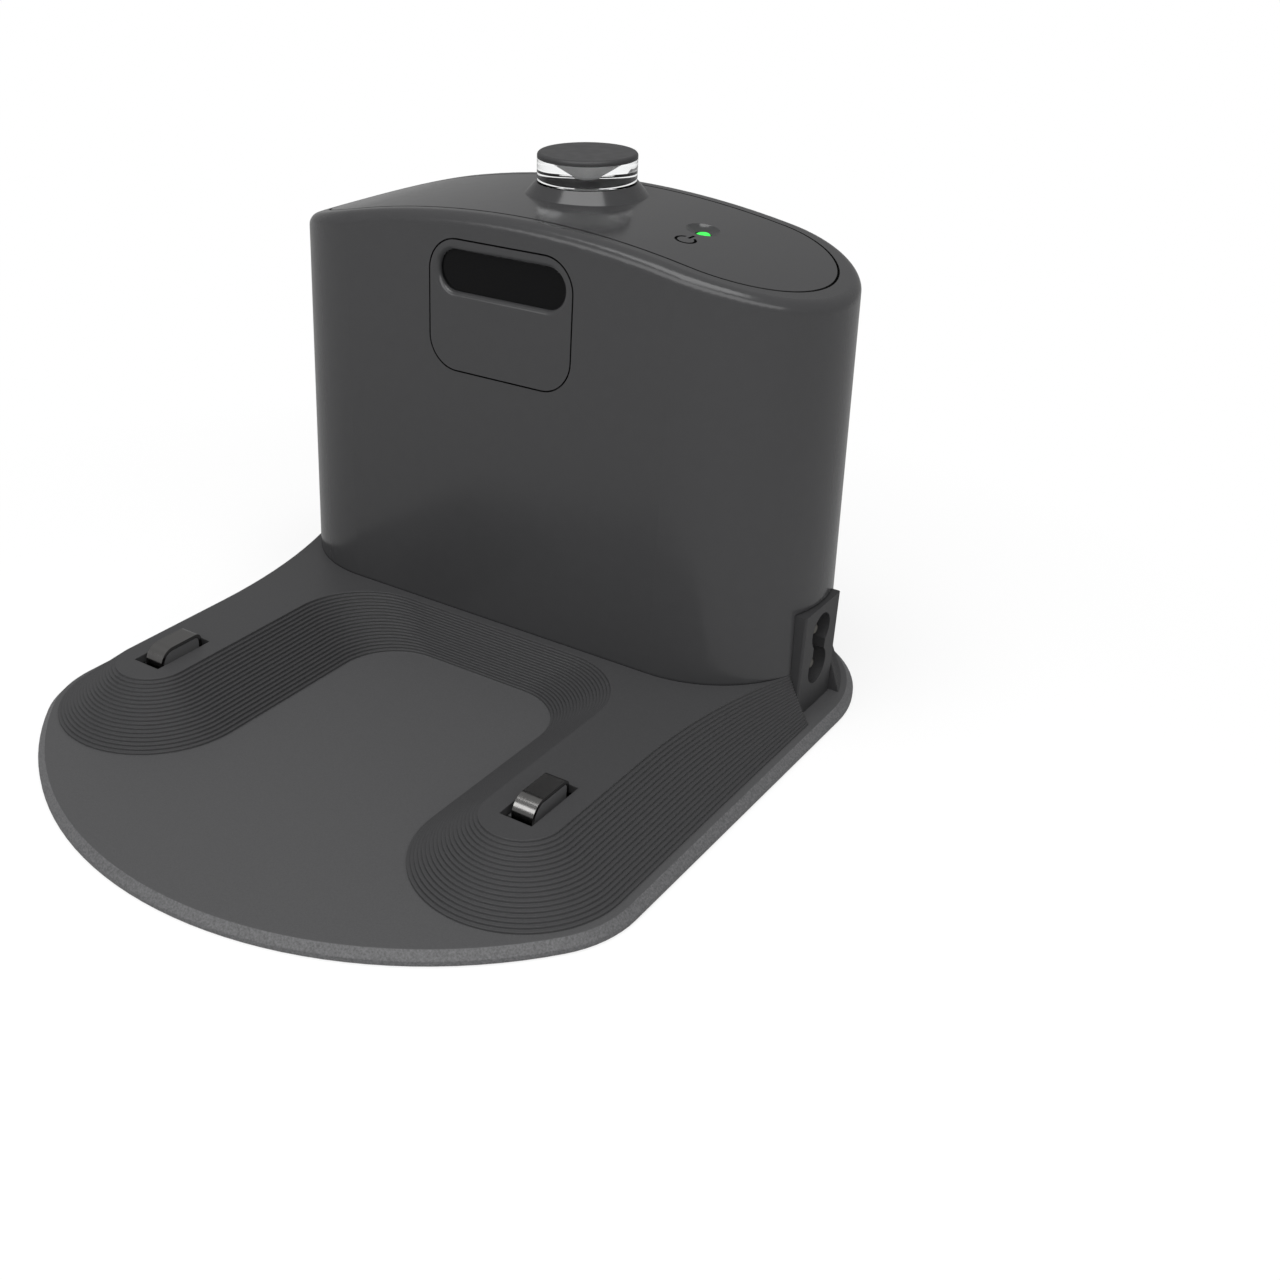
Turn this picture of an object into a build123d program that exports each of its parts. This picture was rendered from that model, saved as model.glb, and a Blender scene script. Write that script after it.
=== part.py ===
from build123d import *
from math import asin, degrees, radians, sqrt, tan
import os

os.makedirs("parts", exist_ok=True)

# Frame: millimetres, +X right, +Y back, +Z up. The origin is on the floor under the middle of the dock,
# and the robot drives on from -Y. The outside is mirrored in X, but for the inlet and the charging light.

# Base outline
base_width = 151.0
base_depth = 169.8
lip_bottom_z = 0.3
floor_z = 2.89
edge_bevel = 1.6
base_rear_r = 34.2
front_arc_r = 89.1
front_corner_r = 25.0

# Tower plan and wall
tower_foot_r = 27.3
tower_draft = 1.66
tower_wall = 2.4
dome_crest_z = 104.1
dome_r = 214.0
top_edge_r = 2.8
seam_inset = 4.3
seam_gap = 0.5
cover_thickness = 2.0
cover_ledge = 2.4
ledge_thickness = 2.0

# Raised deck with its treads. Places ahead and behind are measured from the tower's centre line.
deck_z = 13.73
tread_count = 19
tread_pitch = 0.76
deck_lobe_r = 8.54
lobe_ahead = 86.12
bay_back_ahead = 29.6
bay_back_run = 4.7
bay_corner_r = 17.7
bay_corner_shrink = 3.5
flare_start_ahead = 56.5
ledge_round_tower = 0.1
tower_end_run = 3.8
deck_wall = 2.0
cavity_levels = (0, 4, 8, 12)

# Charging contacts
contact_spacing = 100.0
slot_width = 7.44
slot_length = 15.69
slot_ahead = 80.69
slot_front_gap = 2.0
strip_width = 4.8
strip_thickness = 0.8
strip_length = 12.45
strip_rest = 0.17
strip_front_bend_r = 4.0
strip_rear_bend_r = 1.6
contact_travel = 2.3
carrier_clearance = 0.1
carrier_flange_width = 10.0
carrier_flange_height = 2.0
stop_gap = 0.2
spring_r = 2.1
spring_wire_r = 0.25
spring_turns = 4.0
terminal_size = 7.0
terminal_thickness = 0.4

# Bottom cover, feet and screws
cover_plate_thickness = 2.0
cover_rebate = 1.2
part_gap = 0.15
foot_r = 6.0
foot_height = 1.3
front_foot_x = 30.0
front_foot_inset = 16.4
rear_foot_in = 1.3
rear_foot_behind = 9.3
post_r = 2.8
screw_shank_r = 1.25
screw_head_r = 2.3
screw_head_height = 1.1
screw_length = 8.0
screw_clearance = 0.05
screw_hole_gap = 0.25
front_post_ahead = 8.1
side_post_behind = 10.8
rear_post_in = 7.3
rear_post_behind = 21.3
tower_boss_out = 8.7
tower_boss_spread_y = 16.2
tower_boss_height = 14.0
deck_opening_rim = 7.3
deck_opening_corner_r = 4.0

# Front plate and its window
plate_width = 36.82
plate_height = 28.2
plate_centre_z = 84.78
plate_corner_r = 7.3
plate_thickness = 1.4
plate_gap = 0.35
window_centre_z = 92.0
window_opening_length = 32.0
window_opening_height = 8.6
window_bevel = 1.2
window_flange = 0.8
window_thickness = 1.0

# Mains inlet
inlet_proud = 0.6
inlet_depth = 12.0
inlet_width = 16.6
inlet_ahead = 1.0
inlet_top_z = 28.0
inlet_edge_r = 0.6
socket_centre_z = 17.4
socket_pitch = 8.6
socket_lobe_r = 4.2
socket_waist = 5.6
socket_depth = 9.0
pin_r = 1.2
pin_recess = 1.2
pin_tail = 3.0

# Beacon on top
beacon_behind = 7.1
beacon_lens_r = 10.84
beacon_cap_z = 111.2
beacon_cap_height = 1.15
beacon_cap_edge_r = 0.7
beacon_lens_z = 106.45
lens_foot_chamfer = 0.3
lens_gap = 0.1
skirt_foot_r = 13.6
skirt_top_r = 11.1
skirt_hollow_r = 10.3
seat_thickness = 1.6
seat_opening_r = 5.5
filter_r = 7.5
filter_thickness = 0.8
cone_top_r = 6.2
cone_tip_r = 1.95
cone_slant_height = 3.2
cone_height = 3.75

# Charging light
light_in = 9.0
light_behind = 1.3
dimple_r = 3.7
dimple_depth = 1.3
pipe_r = 1.6
pipe_rise = 0.6
icon_out = 0.9
icon_ahead = 8.7
icon_depth = 0.5
icon_r = 2.3
icon_bar = 0.6
icon_opening = 1.9

# Boards inside
board_thickness = 1.6
board_ahead = 15.5
board_width = 76.0
board_bottom_z = 18.0
board_top_z = 96.5
board_post_inset = 6.0
board_post_z = (30.0, 84.0)
top_board_z = 91.4
top_board_min_x = -16.0
top_board_margin = 7.7
top_board_width = 18.0
top_post_left = 12.0
top_post_light_gap = 10.3
top_post_offset = 4.75
led_r = 2.5
led_length = 5.0
status_led_size = 3.0
emitter_x = 6.0
emitter_wall = 0.8
wire_r = 0.8
wire_bend_r = 8.0
spring_pin_r = 1.2
spring_pin_height = 2.5
terminal_tab = 3.0
lead_straight = 10.0
lead_lane_in = 6.0
lead_lane_start_ahead = 52.7
lead_lane_end_ahead = 36.7
lead_turn_x = 28.0
inlet_lead_run = 8.0
link_inset = 5.0
foot_chamfer = 0.4

# Parts on the main board
transformer_beside_sink = 20.0
transformer_z = 48.0
core_width = 26.0
core_depth = 18.0
core_height = 24.0
core_leg = 8.0
coil_width = 17.0
coil_depth = 26.0
coil_height = 15.0
input_capacitor_inset = 16.0
input_capacitor_z = 70.0
input_capacitor_r = 8.0
input_capacitor_length = 20.0
output_capacitor_inset = 12.0
output_capacitor_z = 74.0
output_capacitor_r = 5.0
output_capacitor_length = 16.0
heat_sink_inset = 14.0
heat_sink_z = 38.0
heat_sink_height = 22.0
heat_sink_back = 2.0
heat_sink_depth = 22.0
heat_sink_width = 12.0
heat_sink_fin = 1.5
fin_count = 5
transistor_thickness = 4.5
transistor_length = 15.0
transistor_width = 10.0
fuse_inset = 8.0
fuse_z = 48.0
fuse_r = 2.6
fuse_length = 20.0
mains_header_inset = 14.0
mains_header_z = 19.0
mains_header_width = 8.0
mains_header_rise = 10.0
header_depth = 9.0
contact_header_z = 19.0
contact_header_width = 12.0
contact_header_rise = 6.0
link_header_x = 0.0
link_header_z = 74.0
link_header_width = 8.0
link_header_depth = 6.0
link_header_rise = 4.0

# Worked out from the sizes above
half_width = base_width / 2
half_depth = base_depth / 2
tower_centre_x = half_width - base_rear_r
tower_centre_y = half_depth - base_rear_r
lobe_centre_y = tower_centre_y - lobe_ahead
bay_back_top_y = tower_centre_y - bay_back_ahead
flare_start_y = tower_centre_y - flare_start_ahead
contact_x = contact_spacing / 2
slot_centre_y = tower_centre_y - slot_ahead
strip_front_y = slot_centre_y - slot_length / 2 + slot_front_gap
strip_top_z = deck_z + contact_travel + strip_rest
riser = (deck_z - floor_z) / tread_count
draft_slope = tan(radians(tower_draft))
board_front_y = tower_centre_y - board_ahead
board_back_y = board_front_y + board_thickness
cover_seat_z = lip_bottom_z + cover_plate_thickness
deck_underside_z = deck_z - deck_wall
strip_centre_y = strip_front_y + strip_length / 2
carrier_length = strip_length - 2 * strip_thickness - 2 * carrier_clearance
flange_top_z = deck_underside_z - stop_gap
carrier_bottom_z = flange_top_z - carrier_flange_height
spring_seat_z = cover_seat_z + terminal_thickness
spring_top_z = carrier_bottom_z - strip_thickness
inlet_face_x = tower_centre_x + tower_foot_r + inlet_proud
inlet_back_x = inlet_face_x - inlet_depth
inlet_centre_y = tower_centre_y - inlet_ahead
deck_opening_length = 2 * tower_centre_x
deck_opening_width = 2 * (tower_foot_r - deck_opening_rim)
tower_boss_x = tower_centre_x + tower_boss_out
beacon_y = tower_centre_y + beacon_behind
light_x = tower_centre_x - light_in
light_y = tower_centre_y + light_behind
icon_x = light_x + icon_out
icon_y = light_y - icon_ahead
front_foot_y = front_foot_inset - half_depth
rear_foot_x = tower_centre_x - rear_foot_in
rear_foot_y = tower_centre_y + rear_foot_behind
cover_post_places = (
    (contact_x, lobe_centre_y - front_post_ahead),
    (contact_x, flare_start_y + side_post_behind),
    (tower_centre_x - rear_post_in, tower_centre_y + rear_post_behind),
)
passage_start_x = deck_opening_length / 2 - deck_opening_corner_r
sides = (("right", 1), ("left", -1))
header_wire_y = board_back_y + header_depth / 2
top_board_min_y = beacon_y - top_board_width / 2
top_board_max_x = light_x + top_board_margin
top_board_post_places = (
    (-top_post_left, beacon_y - top_post_offset),
    (light_x - top_post_light_gap, beacon_y + top_post_offset),
)
board_side_x = board_width / 2
board_post_x = board_side_x - board_post_inset
heat_sink_x = heat_sink_inset - board_side_x
transformer_x = heat_sink_x + transformer_beside_sink
fuse_x = board_side_x - fuse_inset
mains_header_x = board_side_x - mains_header_inset
capacitors = (
    (
        "input_capacitor",
        board_side_x - input_capacitor_inset,
        input_capacitor_z,
        input_capacitor_r,
        input_capacitor_length,
    ),
    (
        "output_capacitor",
        output_capacitor_inset - board_side_x,
        output_capacitor_z,
        output_capacitor_r,
        output_capacitor_length,
    ),
)
lead_lane_x = contact_x - lead_lane_in
lead_lane_start_y = tower_centre_y - lead_lane_start_ahead
lead_lane_end_y = tower_centre_y - lead_lane_end_ahead
headers = (
    ("mains_header", mains_header_x, mains_header_z, mains_header_width, header_depth, mains_header_rise),
    ("contact_header", 0.0, contact_header_z, contact_header_width, header_depth, contact_header_rise),
    ("link_header", link_header_x, link_header_z, link_header_width, link_header_depth, link_header_rise),
)


def tower_r(z):
    """Radius of the tower's rounded ends at a height."""
    return tower_foot_r - draft_slope * (z - deck_z)


def wall_y(z):
    """Place of the tower's flat front face at a height."""
    return tower_centre_y - tower_r(z)


def dome_z(x):
    """Height of the domed top at a place across the dock."""
    return dome_crest_z - dome_r + sqrt(dome_r**2 - x**2)


def step_z(step):
    """Height of a tread, counted down from the deck."""
    return deck_z - riser * step


def tread_plan(step, inset=0.0):
    """Plan of the deck at one tread, drawn in all round by inset."""
    share = step / (tread_count - 1)
    lobe_r = deck_lobe_r + tread_pitch * step - inset
    bay_back_y = bay_back_top_y - bay_back_run * share + inset
    corner_r = bay_corner_r - bay_corner_shrink * share + inset
    end_r = tower_foot_r + ledge_round_tower + tower_end_run * share - inset
    inner_x = contact_x - lobe_r
    run = contact_x + lobe_r - tower_centre_x
    rise = tower_centre_y - flare_start_y
    flare_r = (run**2 + rise**2 - end_r**2) / (2 * (end_r - run))
    flare_angle = degrees(asin(rise / (flare_r + end_r)))
    with BuildSketch() as plan:
        with BuildLine():
            back = Line((0, bay_back_y), (inner_x - corner_r, bay_back_y))
            corner = JernArc(back @ 1, (1, 0), corner_r, -90)
            inner = Line(corner @ 1, (inner_x, lobe_centre_y))
            lobe = JernArc(inner @ 1, (0, -1), lobe_r, 180)
            outer = Line(lobe @ 1, (contact_x + lobe_r, flare_start_y))
            flare = JernArc(outer @ 1, (0, 1), flare_r, -flare_angle)
            end = JernArc(flare @ 1, flare % 1, end_r, 90 + flare_angle)
            Line(end @ 1, (0, tower_centre_y + end_r))
            mirror(about=Plane.YZ)
        make_face()
    return plan.sketch


def stadium(z, inset=0.0):
    """Plan of the tower at a height, drawn in all round by inset."""
    with BuildSketch(Plane((0, tower_centre_y, z))) as plan:
        SlotCenterToCenter(2 * tower_centre_x, 2 * (tower_r(z) - inset))
    return plan.sketch


def dome_slab(radius_inset, top_drop, bottom_drop):
    """Domed slab between two depths below the tower's top, on the plan of the seam."""
    slab_from = dome_crest_z - 3 * tower_foot_r / 4
    with BuildPart() as slab:
        with BuildSketch(Plane((0, tower_centre_y, slab_from))):
            SlotCenterToCenter(2 * tower_centre_x, 2 * (tower_r(dome_crest_z) - radius_inset))
        extrude(amount=tower_foot_r)
        with Locations((0, tower_centre_y, dome_crest_z - dome_r)):
            Cylinder(dome_r - top_drop, base_depth, rotation=(90, 0, 0), mode=Mode.INTERSECT)
            Cylinder(dome_r - bottom_drop, base_depth, rotation=(90, 0, 0), mode=Mode.SUBTRACT)
    return slab.part


def tower_form(bottom_z, inset, drop):
    """Drafted hood down to a height, drawn in by inset, with its dome lowered by drop."""
    with BuildPart() as form:
        add(stadium(bottom_z, inset=inset))
        extrude(amount=dome_crest_z - bottom_z + inset, taper=tower_draft)
        with Locations((0, tower_centre_y, dome_crest_z - dome_r)):
            Cylinder(dome_r - drop, base_depth, rotation=(90, 0, 0), mode=Mode.INTERSECT)
    return form.part


def finish(builder, label):
    """Names a finished piece and writes it."""
    builder.part.label = label
    export_step(builder.part, "parts/" + label + ".step")


def wire(points):
    """Round wire along straight runs joined by arcs."""
    with BuildPart() as run:
        with BuildLine() as route:
            FilletPolyline(*points, radius=wire_bend_r)
        with BuildSketch(Plane(route.line @ 0, z_dir=route.line % 0)):
            Circle(wire_r)
        sweep(path=route.line)
    return run


print("bend radius of the wires", wire_bend_r, "and their diameter", 2 * wire_r)

# Base shell, with the deck, treads, contact slots and screw posts
front_angle = degrees(asin((half_width - front_corner_r) / (front_arc_r - front_corner_r)))
with BuildPart() as base_shell:
    with BuildSketch(Plane.XY.offset(lip_bottom_z)) as base_plan:
        with BuildLine():
            front = JernArc((0, -half_depth), (1, 0), front_arc_r, front_angle)
            shoulder = JernArc(front @ 1, front % 1, front_corner_r, 90 - front_angle)
            side = Line(shoulder @ 1, (half_width, tower_centre_y))
            rear = JernArc(side @ 1, (0, 1), base_rear_r, 90)
            Line(rear @ 1, (0, half_depth))
            mirror(about=Plane.YZ)
        make_face()
    extrude(amount=floor_z - lip_bottom_z)
    chamfer(faces().sort_by(Axis.Z)[-1].edges(), length=edge_bevel)
    for step in reversed(range(tread_count)):
        with BuildSketch(Plane.XY.offset(step_z(step + 1))):
            add(tread_plan(step))
        extrude(amount=riser)
    # Hollow below the deck, stepped so that its walls follow the slopes
    for step in cavity_levels:
        with BuildSketch(Plane.XY):
            add(tread_plan(step, inset=deck_wall))
        extrude(amount=step_z(step) - deck_wall, mode=Mode.SUBTRACT)
    # Rebate for the bottom cover
    with BuildSketch(Plane.XY):
        add(tread_plan(cavity_levels[-1], inset=deck_wall - cover_rebate))
    extrude(amount=cover_seat_z, mode=Mode.SUBTRACT)
    # Opening into the tower
    with BuildSketch(Plane((0, tower_centre_y, deck_underside_z))):
        RectangleRounded(deck_opening_length, deck_opening_width, deck_opening_corner_r)
    extrude(amount=deck_wall, mode=Mode.SUBTRACT)
    # Posts for the cover's screws
    with BuildSketch(Plane.XY.offset(cover_seat_z)):
        for place_x, place_y in cover_post_places:
            with Locations((place_x, place_y), (-place_x, place_y)):
                Circle(post_r)
    extrude(amount=deck_underside_z - cover_seat_z)
    with BuildSketch(Plane.XY.offset(cover_seat_z)):
        for place_x, place_y in cover_post_places:
            with Locations((place_x, place_y), (-place_x, place_y)):
                Circle(screw_shank_r + screw_clearance)
    extrude(amount=screw_length, mode=Mode.SUBTRACT)
    # Slots for the contacts
    with BuildSketch(Plane.XY.offset(deck_underside_z)):
        with Locations((contact_x, slot_centre_y), (-contact_x, slot_centre_y)):
            Rectangle(slot_width, slot_length)
    extrude(amount=deck_wall, mode=Mode.SUBTRACT)
    # Clearance holes for the tower's screws
    with BuildSketch(Plane((0, tower_centre_y, deck_underside_z))):
        with GridLocations(2 * tower_boss_x, 2 * tower_boss_spread_y, 2, 2):
            Circle(screw_shank_r + screw_hole_gap)
    extrude(amount=deck_wall, mode=Mode.SUBTRACT)
    # Passage for the inlet's leads
    with BuildSketch(Plane((passage_start_x, inlet_centre_y, deck_underside_z))):
        Rectangle(inlet_back_x - passage_start_x, inlet_width / 2, align=(Align.MIN, Align.CENTER))
    extrude(amount=deck_wall, mode=Mode.SUBTRACT)
    # Pocket beside the inlet, cut through the slope down to the floor
    with BuildSketch(Plane((0, inlet_centre_y, floor_z))):
        with Locations((inlet_back_x - part_gap, 0)):
            Rectangle(
                half_width - edge_bevel - inlet_back_x,
                inlet_width + 2 * part_gap,
                align=(Align.MIN, Align.CENTER),
            )
    extrude(amount=deck_z, mode=Mode.SUBTRACT)
    # Seats for the front feet
    with BuildSketch(Plane.XY.offset(lip_bottom_z)):
        with Locations((front_foot_x, front_foot_y), (-front_foot_x, front_foot_y)):
            Circle(foot_r + part_gap)
    extrude(amount=foot_height - lip_bottom_z, mode=Mode.SUBTRACT)
finish(base_shell, "base_shell")

# Tower shell, a drafted hood with a domed top, open below
front_plane = Plane(
    origin=(0, wall_y(plate_centre_z), plate_centre_z),
    x_dir=(1, 0, 0),
    z_dir=(0, -1, draft_slope),
)
window_rise = (window_centre_z - plate_centre_z) * sqrt(1 + draft_slope**2)
window_length = window_opening_length + 2 * window_flange
window_height = window_opening_height + 2 * window_flange
web_reach = sqrt((tower_foot_r - tower_wall / 2) ** 2 - (tower_boss_x - tower_centre_x) ** 2)
web_length = web_reach - tower_boss_spread_y
with BuildPart() as tower_shell:
    add(tower_form(deck_z, 0, 0))
    fillet(faces().sort_by(Axis.Z)[-1].edges(), radius=top_edge_r)
    add(tower_form(deck_z, tower_wall, cover_thickness + ledge_thickness), mode=Mode.SUBTRACT)
    # Seat of the top cover, and the opening inside its ledge
    add(dome_slab(seam_inset, -cover_thickness, cover_thickness), mode=Mode.SUBTRACT)
    add(dome_slab(seam_inset + cover_ledge, 0, 2 * tower_wall + cover_thickness), mode=Mode.SUBTRACT)
    # Seat of the front plate, and the window's opening behind it
    with BuildSketch(front_plane.offset(-plate_thickness)):
        RectangleRounded(plate_width, plate_height, plate_corner_r)
    extrude(amount=2 * plate_thickness, mode=Mode.SUBTRACT)
    with BuildSketch(front_plane.offset(-2 * tower_wall)):
        with Locations((0, window_rise)):
            SlotOverall(window_length, window_height)
    extrude(amount=2 * tower_wall, mode=Mode.SUBTRACT)
    # Opening round the inlet
    with BuildSketch(Plane((inlet_back_x - part_gap, inlet_centre_y, deck_z))):
        Rectangle(2 * inlet_depth, inlet_width + 2 * part_gap, align=(Align.MIN, Align.CENTER))
    extrude(amount=inlet_top_z + part_gap - deck_z, mode=Mode.SUBTRACT)
    # Bosses for the screws that come up through the deck
    with BuildSketch(Plane((0, tower_centre_y, deck_z))):
        with GridLocations(2 * tower_boss_x, 2 * tower_boss_spread_y, 2, 2):
            Circle(post_r)
        with GridLocations(2 * tower_boss_x, 2 * tower_boss_spread_y + web_length, 2, 2):
            Rectangle(tower_wall / 2, web_length)
    extrude(amount=tower_boss_height)
    with BuildSketch(Plane((0, tower_centre_y, deck_z))):
        with GridLocations(2 * tower_boss_x, 2 * tower_boss_spread_y, 2, 2):
            Circle(screw_shank_r + screw_clearance)
    extrude(amount=screw_length, mode=Mode.SUBTRACT)
    # Posts that carry the main board
    for height in board_post_z:
        with BuildSketch(Plane.XZ.offset(-board_front_y)):
            with Locations((board_post_x, height), (-board_post_x, height)):
                Circle(post_r)
        extrude(amount=board_front_y - wall_y(height) - tower_wall / 2)
    with BuildSketch(Plane.XZ.offset(-board_front_y)):
        for height in board_post_z:
            with Locations((board_post_x, height), (-board_post_x, height)):
                Circle(screw_shank_r + screw_clearance)
    extrude(amount=screw_length - board_thickness, mode=Mode.SUBTRACT)
finish(tower_shell, "tower_shell")

# Top cover, let into the rim, with the beacon's skirt and the charging light's dimple
dimple_slope = light_x / dome_r
dimple_sphere_r = (dimple_r**2 + dimple_depth**2) / (2 * dimple_depth)
skirt_foot_z = dome_z(skirt_foot_r) - cover_thickness / 2
skirt_top_z = beacon_lens_z - lens_gap
filter_seat_z = beacon_lens_z - filter_thickness
with BuildPart() as top_cover:
    add(dome_slab(seam_inset + seam_gap, 0, cover_thickness))
    with BuildSketch(Plane.XZ.offset(-beacon_y)):
        with BuildLine():
            Polyline(
                (0, skirt_foot_z),
                (skirt_foot_r, skirt_foot_z),
                (skirt_foot_r, dome_z(skirt_foot_r)),
                (skirt_top_r, skirt_top_z),
                (0, skirt_top_z),
                close=True,
            )
        make_face()
    revolve(axis=Axis((0, beacon_y, 0), (0, 0, 1)))
    with BuildSketch(Plane((0, beacon_y, filter_seat_z))):
        Circle(filter_r + part_gap)
    extrude(amount=filter_thickness, mode=Mode.SUBTRACT)
    with BuildSketch(Plane((0, beacon_y, filter_seat_z - seat_thickness))):
        Circle(skirt_hollow_r)
    extrude(amount=-2 * cover_thickness, mode=Mode.SUBTRACT)
    with Locations((0, beacon_y, filter_seat_z)):
        Hole(seat_opening_r)
    with Locations(Location((light_x, light_y, dome_z(light_x)), (0, degrees(dimple_slope), 0))):
        with Locations((0, 0, dimple_sphere_r - dimple_depth)):
            Sphere(dimple_sphere_r, mode=Mode.SUBTRACT)
    with Locations((light_x, light_y, dome_z(light_x))):
        Hole(pipe_r + part_gap)
    # Power symbol cut beside the light: a ring, open at the back, and a bar through its opening
    icon_slope = icon_x / dome_r
    icon_plane = Plane(
        origin=(icon_x, icon_y, dome_z(icon_x)),
        x_dir=(1, 0, -icon_slope),
        z_dir=(icon_slope, 0, 1),
    )
    with BuildSketch(icon_plane.offset(-icon_depth)):
        Circle(icon_r)
        Circle(icon_r - icon_bar, mode=Mode.SUBTRACT)
        with Locations((0, icon_r)):
            Rectangle(icon_opening, icon_r, mode=Mode.SUBTRACT)
            Rectangle(icon_bar, icon_r)
    extrude(amount=2 * icon_depth, mode=Mode.SUBTRACT)
    # Posts that carry the top board
    for place_x, place_y in top_board_post_places:
        with BuildSketch(Plane((place_x, place_y, top_board_z + board_thickness))):
            Circle(post_r)
        extrude(amount=dome_z(place_x) - cover_thickness / 2 - top_board_z - board_thickness)
        with BuildSketch(Plane((place_x, place_y, top_board_z + board_thickness))):
            Circle(screw_shank_r + screw_clearance)
        extrude(amount=screw_length - board_thickness, mode=Mode.SUBTRACT)
finish(top_cover, "top_cover")

# Front plate with the scooped opening of the window
with BuildPart() as front_plate:
    with BuildSketch(front_plane.offset(-plate_thickness)):
        RectangleRounded(
            plate_width - 2 * plate_gap,
            plate_height - 2 * plate_gap,
            plate_corner_r - plate_gap,
        )
        with Locations((0, window_rise)):
            SlotOverall(window_opening_length, window_opening_height, mode=Mode.SUBTRACT)
    extrude(amount=plate_thickness)
    opening_rim = faces().sort_by(Axis.Y)[0].inner_wires()[0].edges()
    fillet(opening_rim, radius=window_bevel)
finish(front_plate, "front_plate")

# Infrared window behind the plate
with BuildPart() as ir_window:
    with BuildSketch(front_plane.offset(-plate_thickness)):
        with Locations((0, window_rise)):
            SlotOverall(window_length - 2 * part_gap, window_height - 2 * part_gap)
    extrude(amount=-window_thickness)
finish(ir_window, "ir_window")

# Beacon: solid clear lens with a cone in its well, on a black infrared filter, under a cap
beacon_axis = Axis((0, beacon_y, 0), (0, 0, 1))


def cone_body(clearance):
    """The cone under the cap, or, with a clearance round it, the well that it fills."""
    with BuildPart() as cone:
        with BuildSketch(Plane.XZ.offset(-beacon_y)):
            with BuildLine():
                slant = Line(
                    (cone_top_r + clearance, beacon_cap_z),
                    (cone_tip_r + clearance, beacon_cap_z - cone_slant_height),
                )
                bowl = TangentArc(
                    (0, beacon_cap_z - cone_height - clearance),
                    slant @ 1,
                    tangent=(1, 0),
                    tangent_from_first=True,
                )
                Polyline(bowl @ 0, (0, beacon_cap_z), slant @ 0)
            make_face()
        revolve(axis=beacon_axis)
    return cone.part


with BuildPart() as beacon_lens:
    with BuildSketch(Plane((0, beacon_y, beacon_lens_z))):
        Circle(beacon_lens_r)
    extrude(amount=beacon_cap_z - beacon_lens_z)
    chamfer(faces().sort_by(Axis.Z)[0].edges(), length=lens_foot_chamfer)
    add(cone_body(part_gap), mode=Mode.SUBTRACT)
finish(beacon_lens, "beacon_lens")

with BuildPart() as beacon_cone:
    add(cone_body(0))
finish(beacon_cone, "beacon_cone")

with BuildPart() as beacon_filter:
    with BuildSketch(Plane((0, beacon_y, filter_seat_z))):
        Circle(filter_r)
    extrude(amount=filter_thickness)
finish(beacon_filter, "beacon_filter")

with BuildPart() as beacon_cap:
    with BuildSketch(Plane((0, beacon_y, beacon_cap_z))):
        Circle(beacon_lens_r)
    extrude(amount=beacon_cap_height)
    fillet(faces().sort_by(Axis.Z)[-1].edges(), radius=beacon_cap_edge_r)
finish(beacon_cap, "beacon_cap")

# Beacon's emitter on its holder
holder_base_z = top_board_z + board_thickness
beacon_led_top_z = filter_seat_z - part_gap
with BuildPart() as beacon_led:
    with BuildSketch(Plane((0, beacon_y, beacon_led_top_z - led_length))):
        Circle(led_r)
    extrude(amount=led_length)
    fillet(faces().sort_by(Axis.Z)[-1].edges(), radius=led_r - part_gap)
finish(beacon_led, "beacon_led")

with BuildPart() as beacon_led_holder:
    with BuildSketch(Plane((0, beacon_y, holder_base_z))):
        Circle(led_r + 2 * emitter_wall)
    extrude(amount=beacon_led_top_z - led_length - holder_base_z)
finish(beacon_led_holder, "beacon_led_holder")

# Charging light: diode on the top board and the pipe above it
with BuildPart() as charging_led:
    with BuildSketch(Plane((light_x, light_y, holder_base_z))):
        Rectangle(status_led_size, status_led_size)
    extrude(amount=status_led_size / 2)
finish(charging_led, "charging_led")

light_pipe_foot_z = holder_base_z + status_led_size / 2
with BuildPart() as light_pipe:
    with BuildSketch(Plane((light_x, light_y, light_pipe_foot_z))):
        Circle(pipe_r)
    extrude(amount=dome_z(light_x) - dimple_depth + pipe_rise - light_pipe_foot_z)
    fillet(faces().sort_by(Axis.Z)[-1].edges(), radius=pipe_r / 2)
finish(light_pipe, "light_pipe")

# Top board, hung from the cover
with BuildPart() as top_board:
    with BuildSketch(Plane((top_board_min_x, beacon_y, top_board_z))):
        Rectangle(top_board_max_x - top_board_min_x, top_board_width, align=(Align.MIN, Align.CENTER))
    extrude(amount=board_thickness)
    with BuildSketch(Plane.XY.offset(top_board_z)):
        with Locations(*top_board_post_places):
            Circle(screw_shank_r + screw_hole_gap)
    extrude(amount=board_thickness, mode=Mode.SUBTRACT)
finish(top_board, "top_board")

with BuildPart() as top_board_screws:
    with BuildSketch(Plane.XY.offset(top_board_z - screw_head_height)):
        with Locations(*top_board_post_places):
            Circle(screw_head_r)
    extrude(amount=screw_head_height)
    with BuildSketch(Plane.XY.offset(top_board_z)):
        with Locations(*top_board_post_places):
            Circle(screw_shank_r)
    extrude(amount=screw_length - screw_hole_gap)
finish(top_board_screws, "top_board_screws")

# Main board on the posts behind the front wall
board_screw_places = [(side * board_post_x, height) for side in (1, -1) for height in board_post_z]
with BuildPart() as main_board:
    with BuildSketch(Plane.XZ.offset(-board_front_y)):
        with Locations((0, board_bottom_z)):
            Rectangle(board_width, board_top_z - board_bottom_z, align=(Align.CENTER, Align.MIN))
        with Locations(*board_screw_places):
            Circle(screw_shank_r + screw_hole_gap, mode=Mode.SUBTRACT)
    extrude(amount=-board_thickness)
finish(main_board, "main_board")

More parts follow.
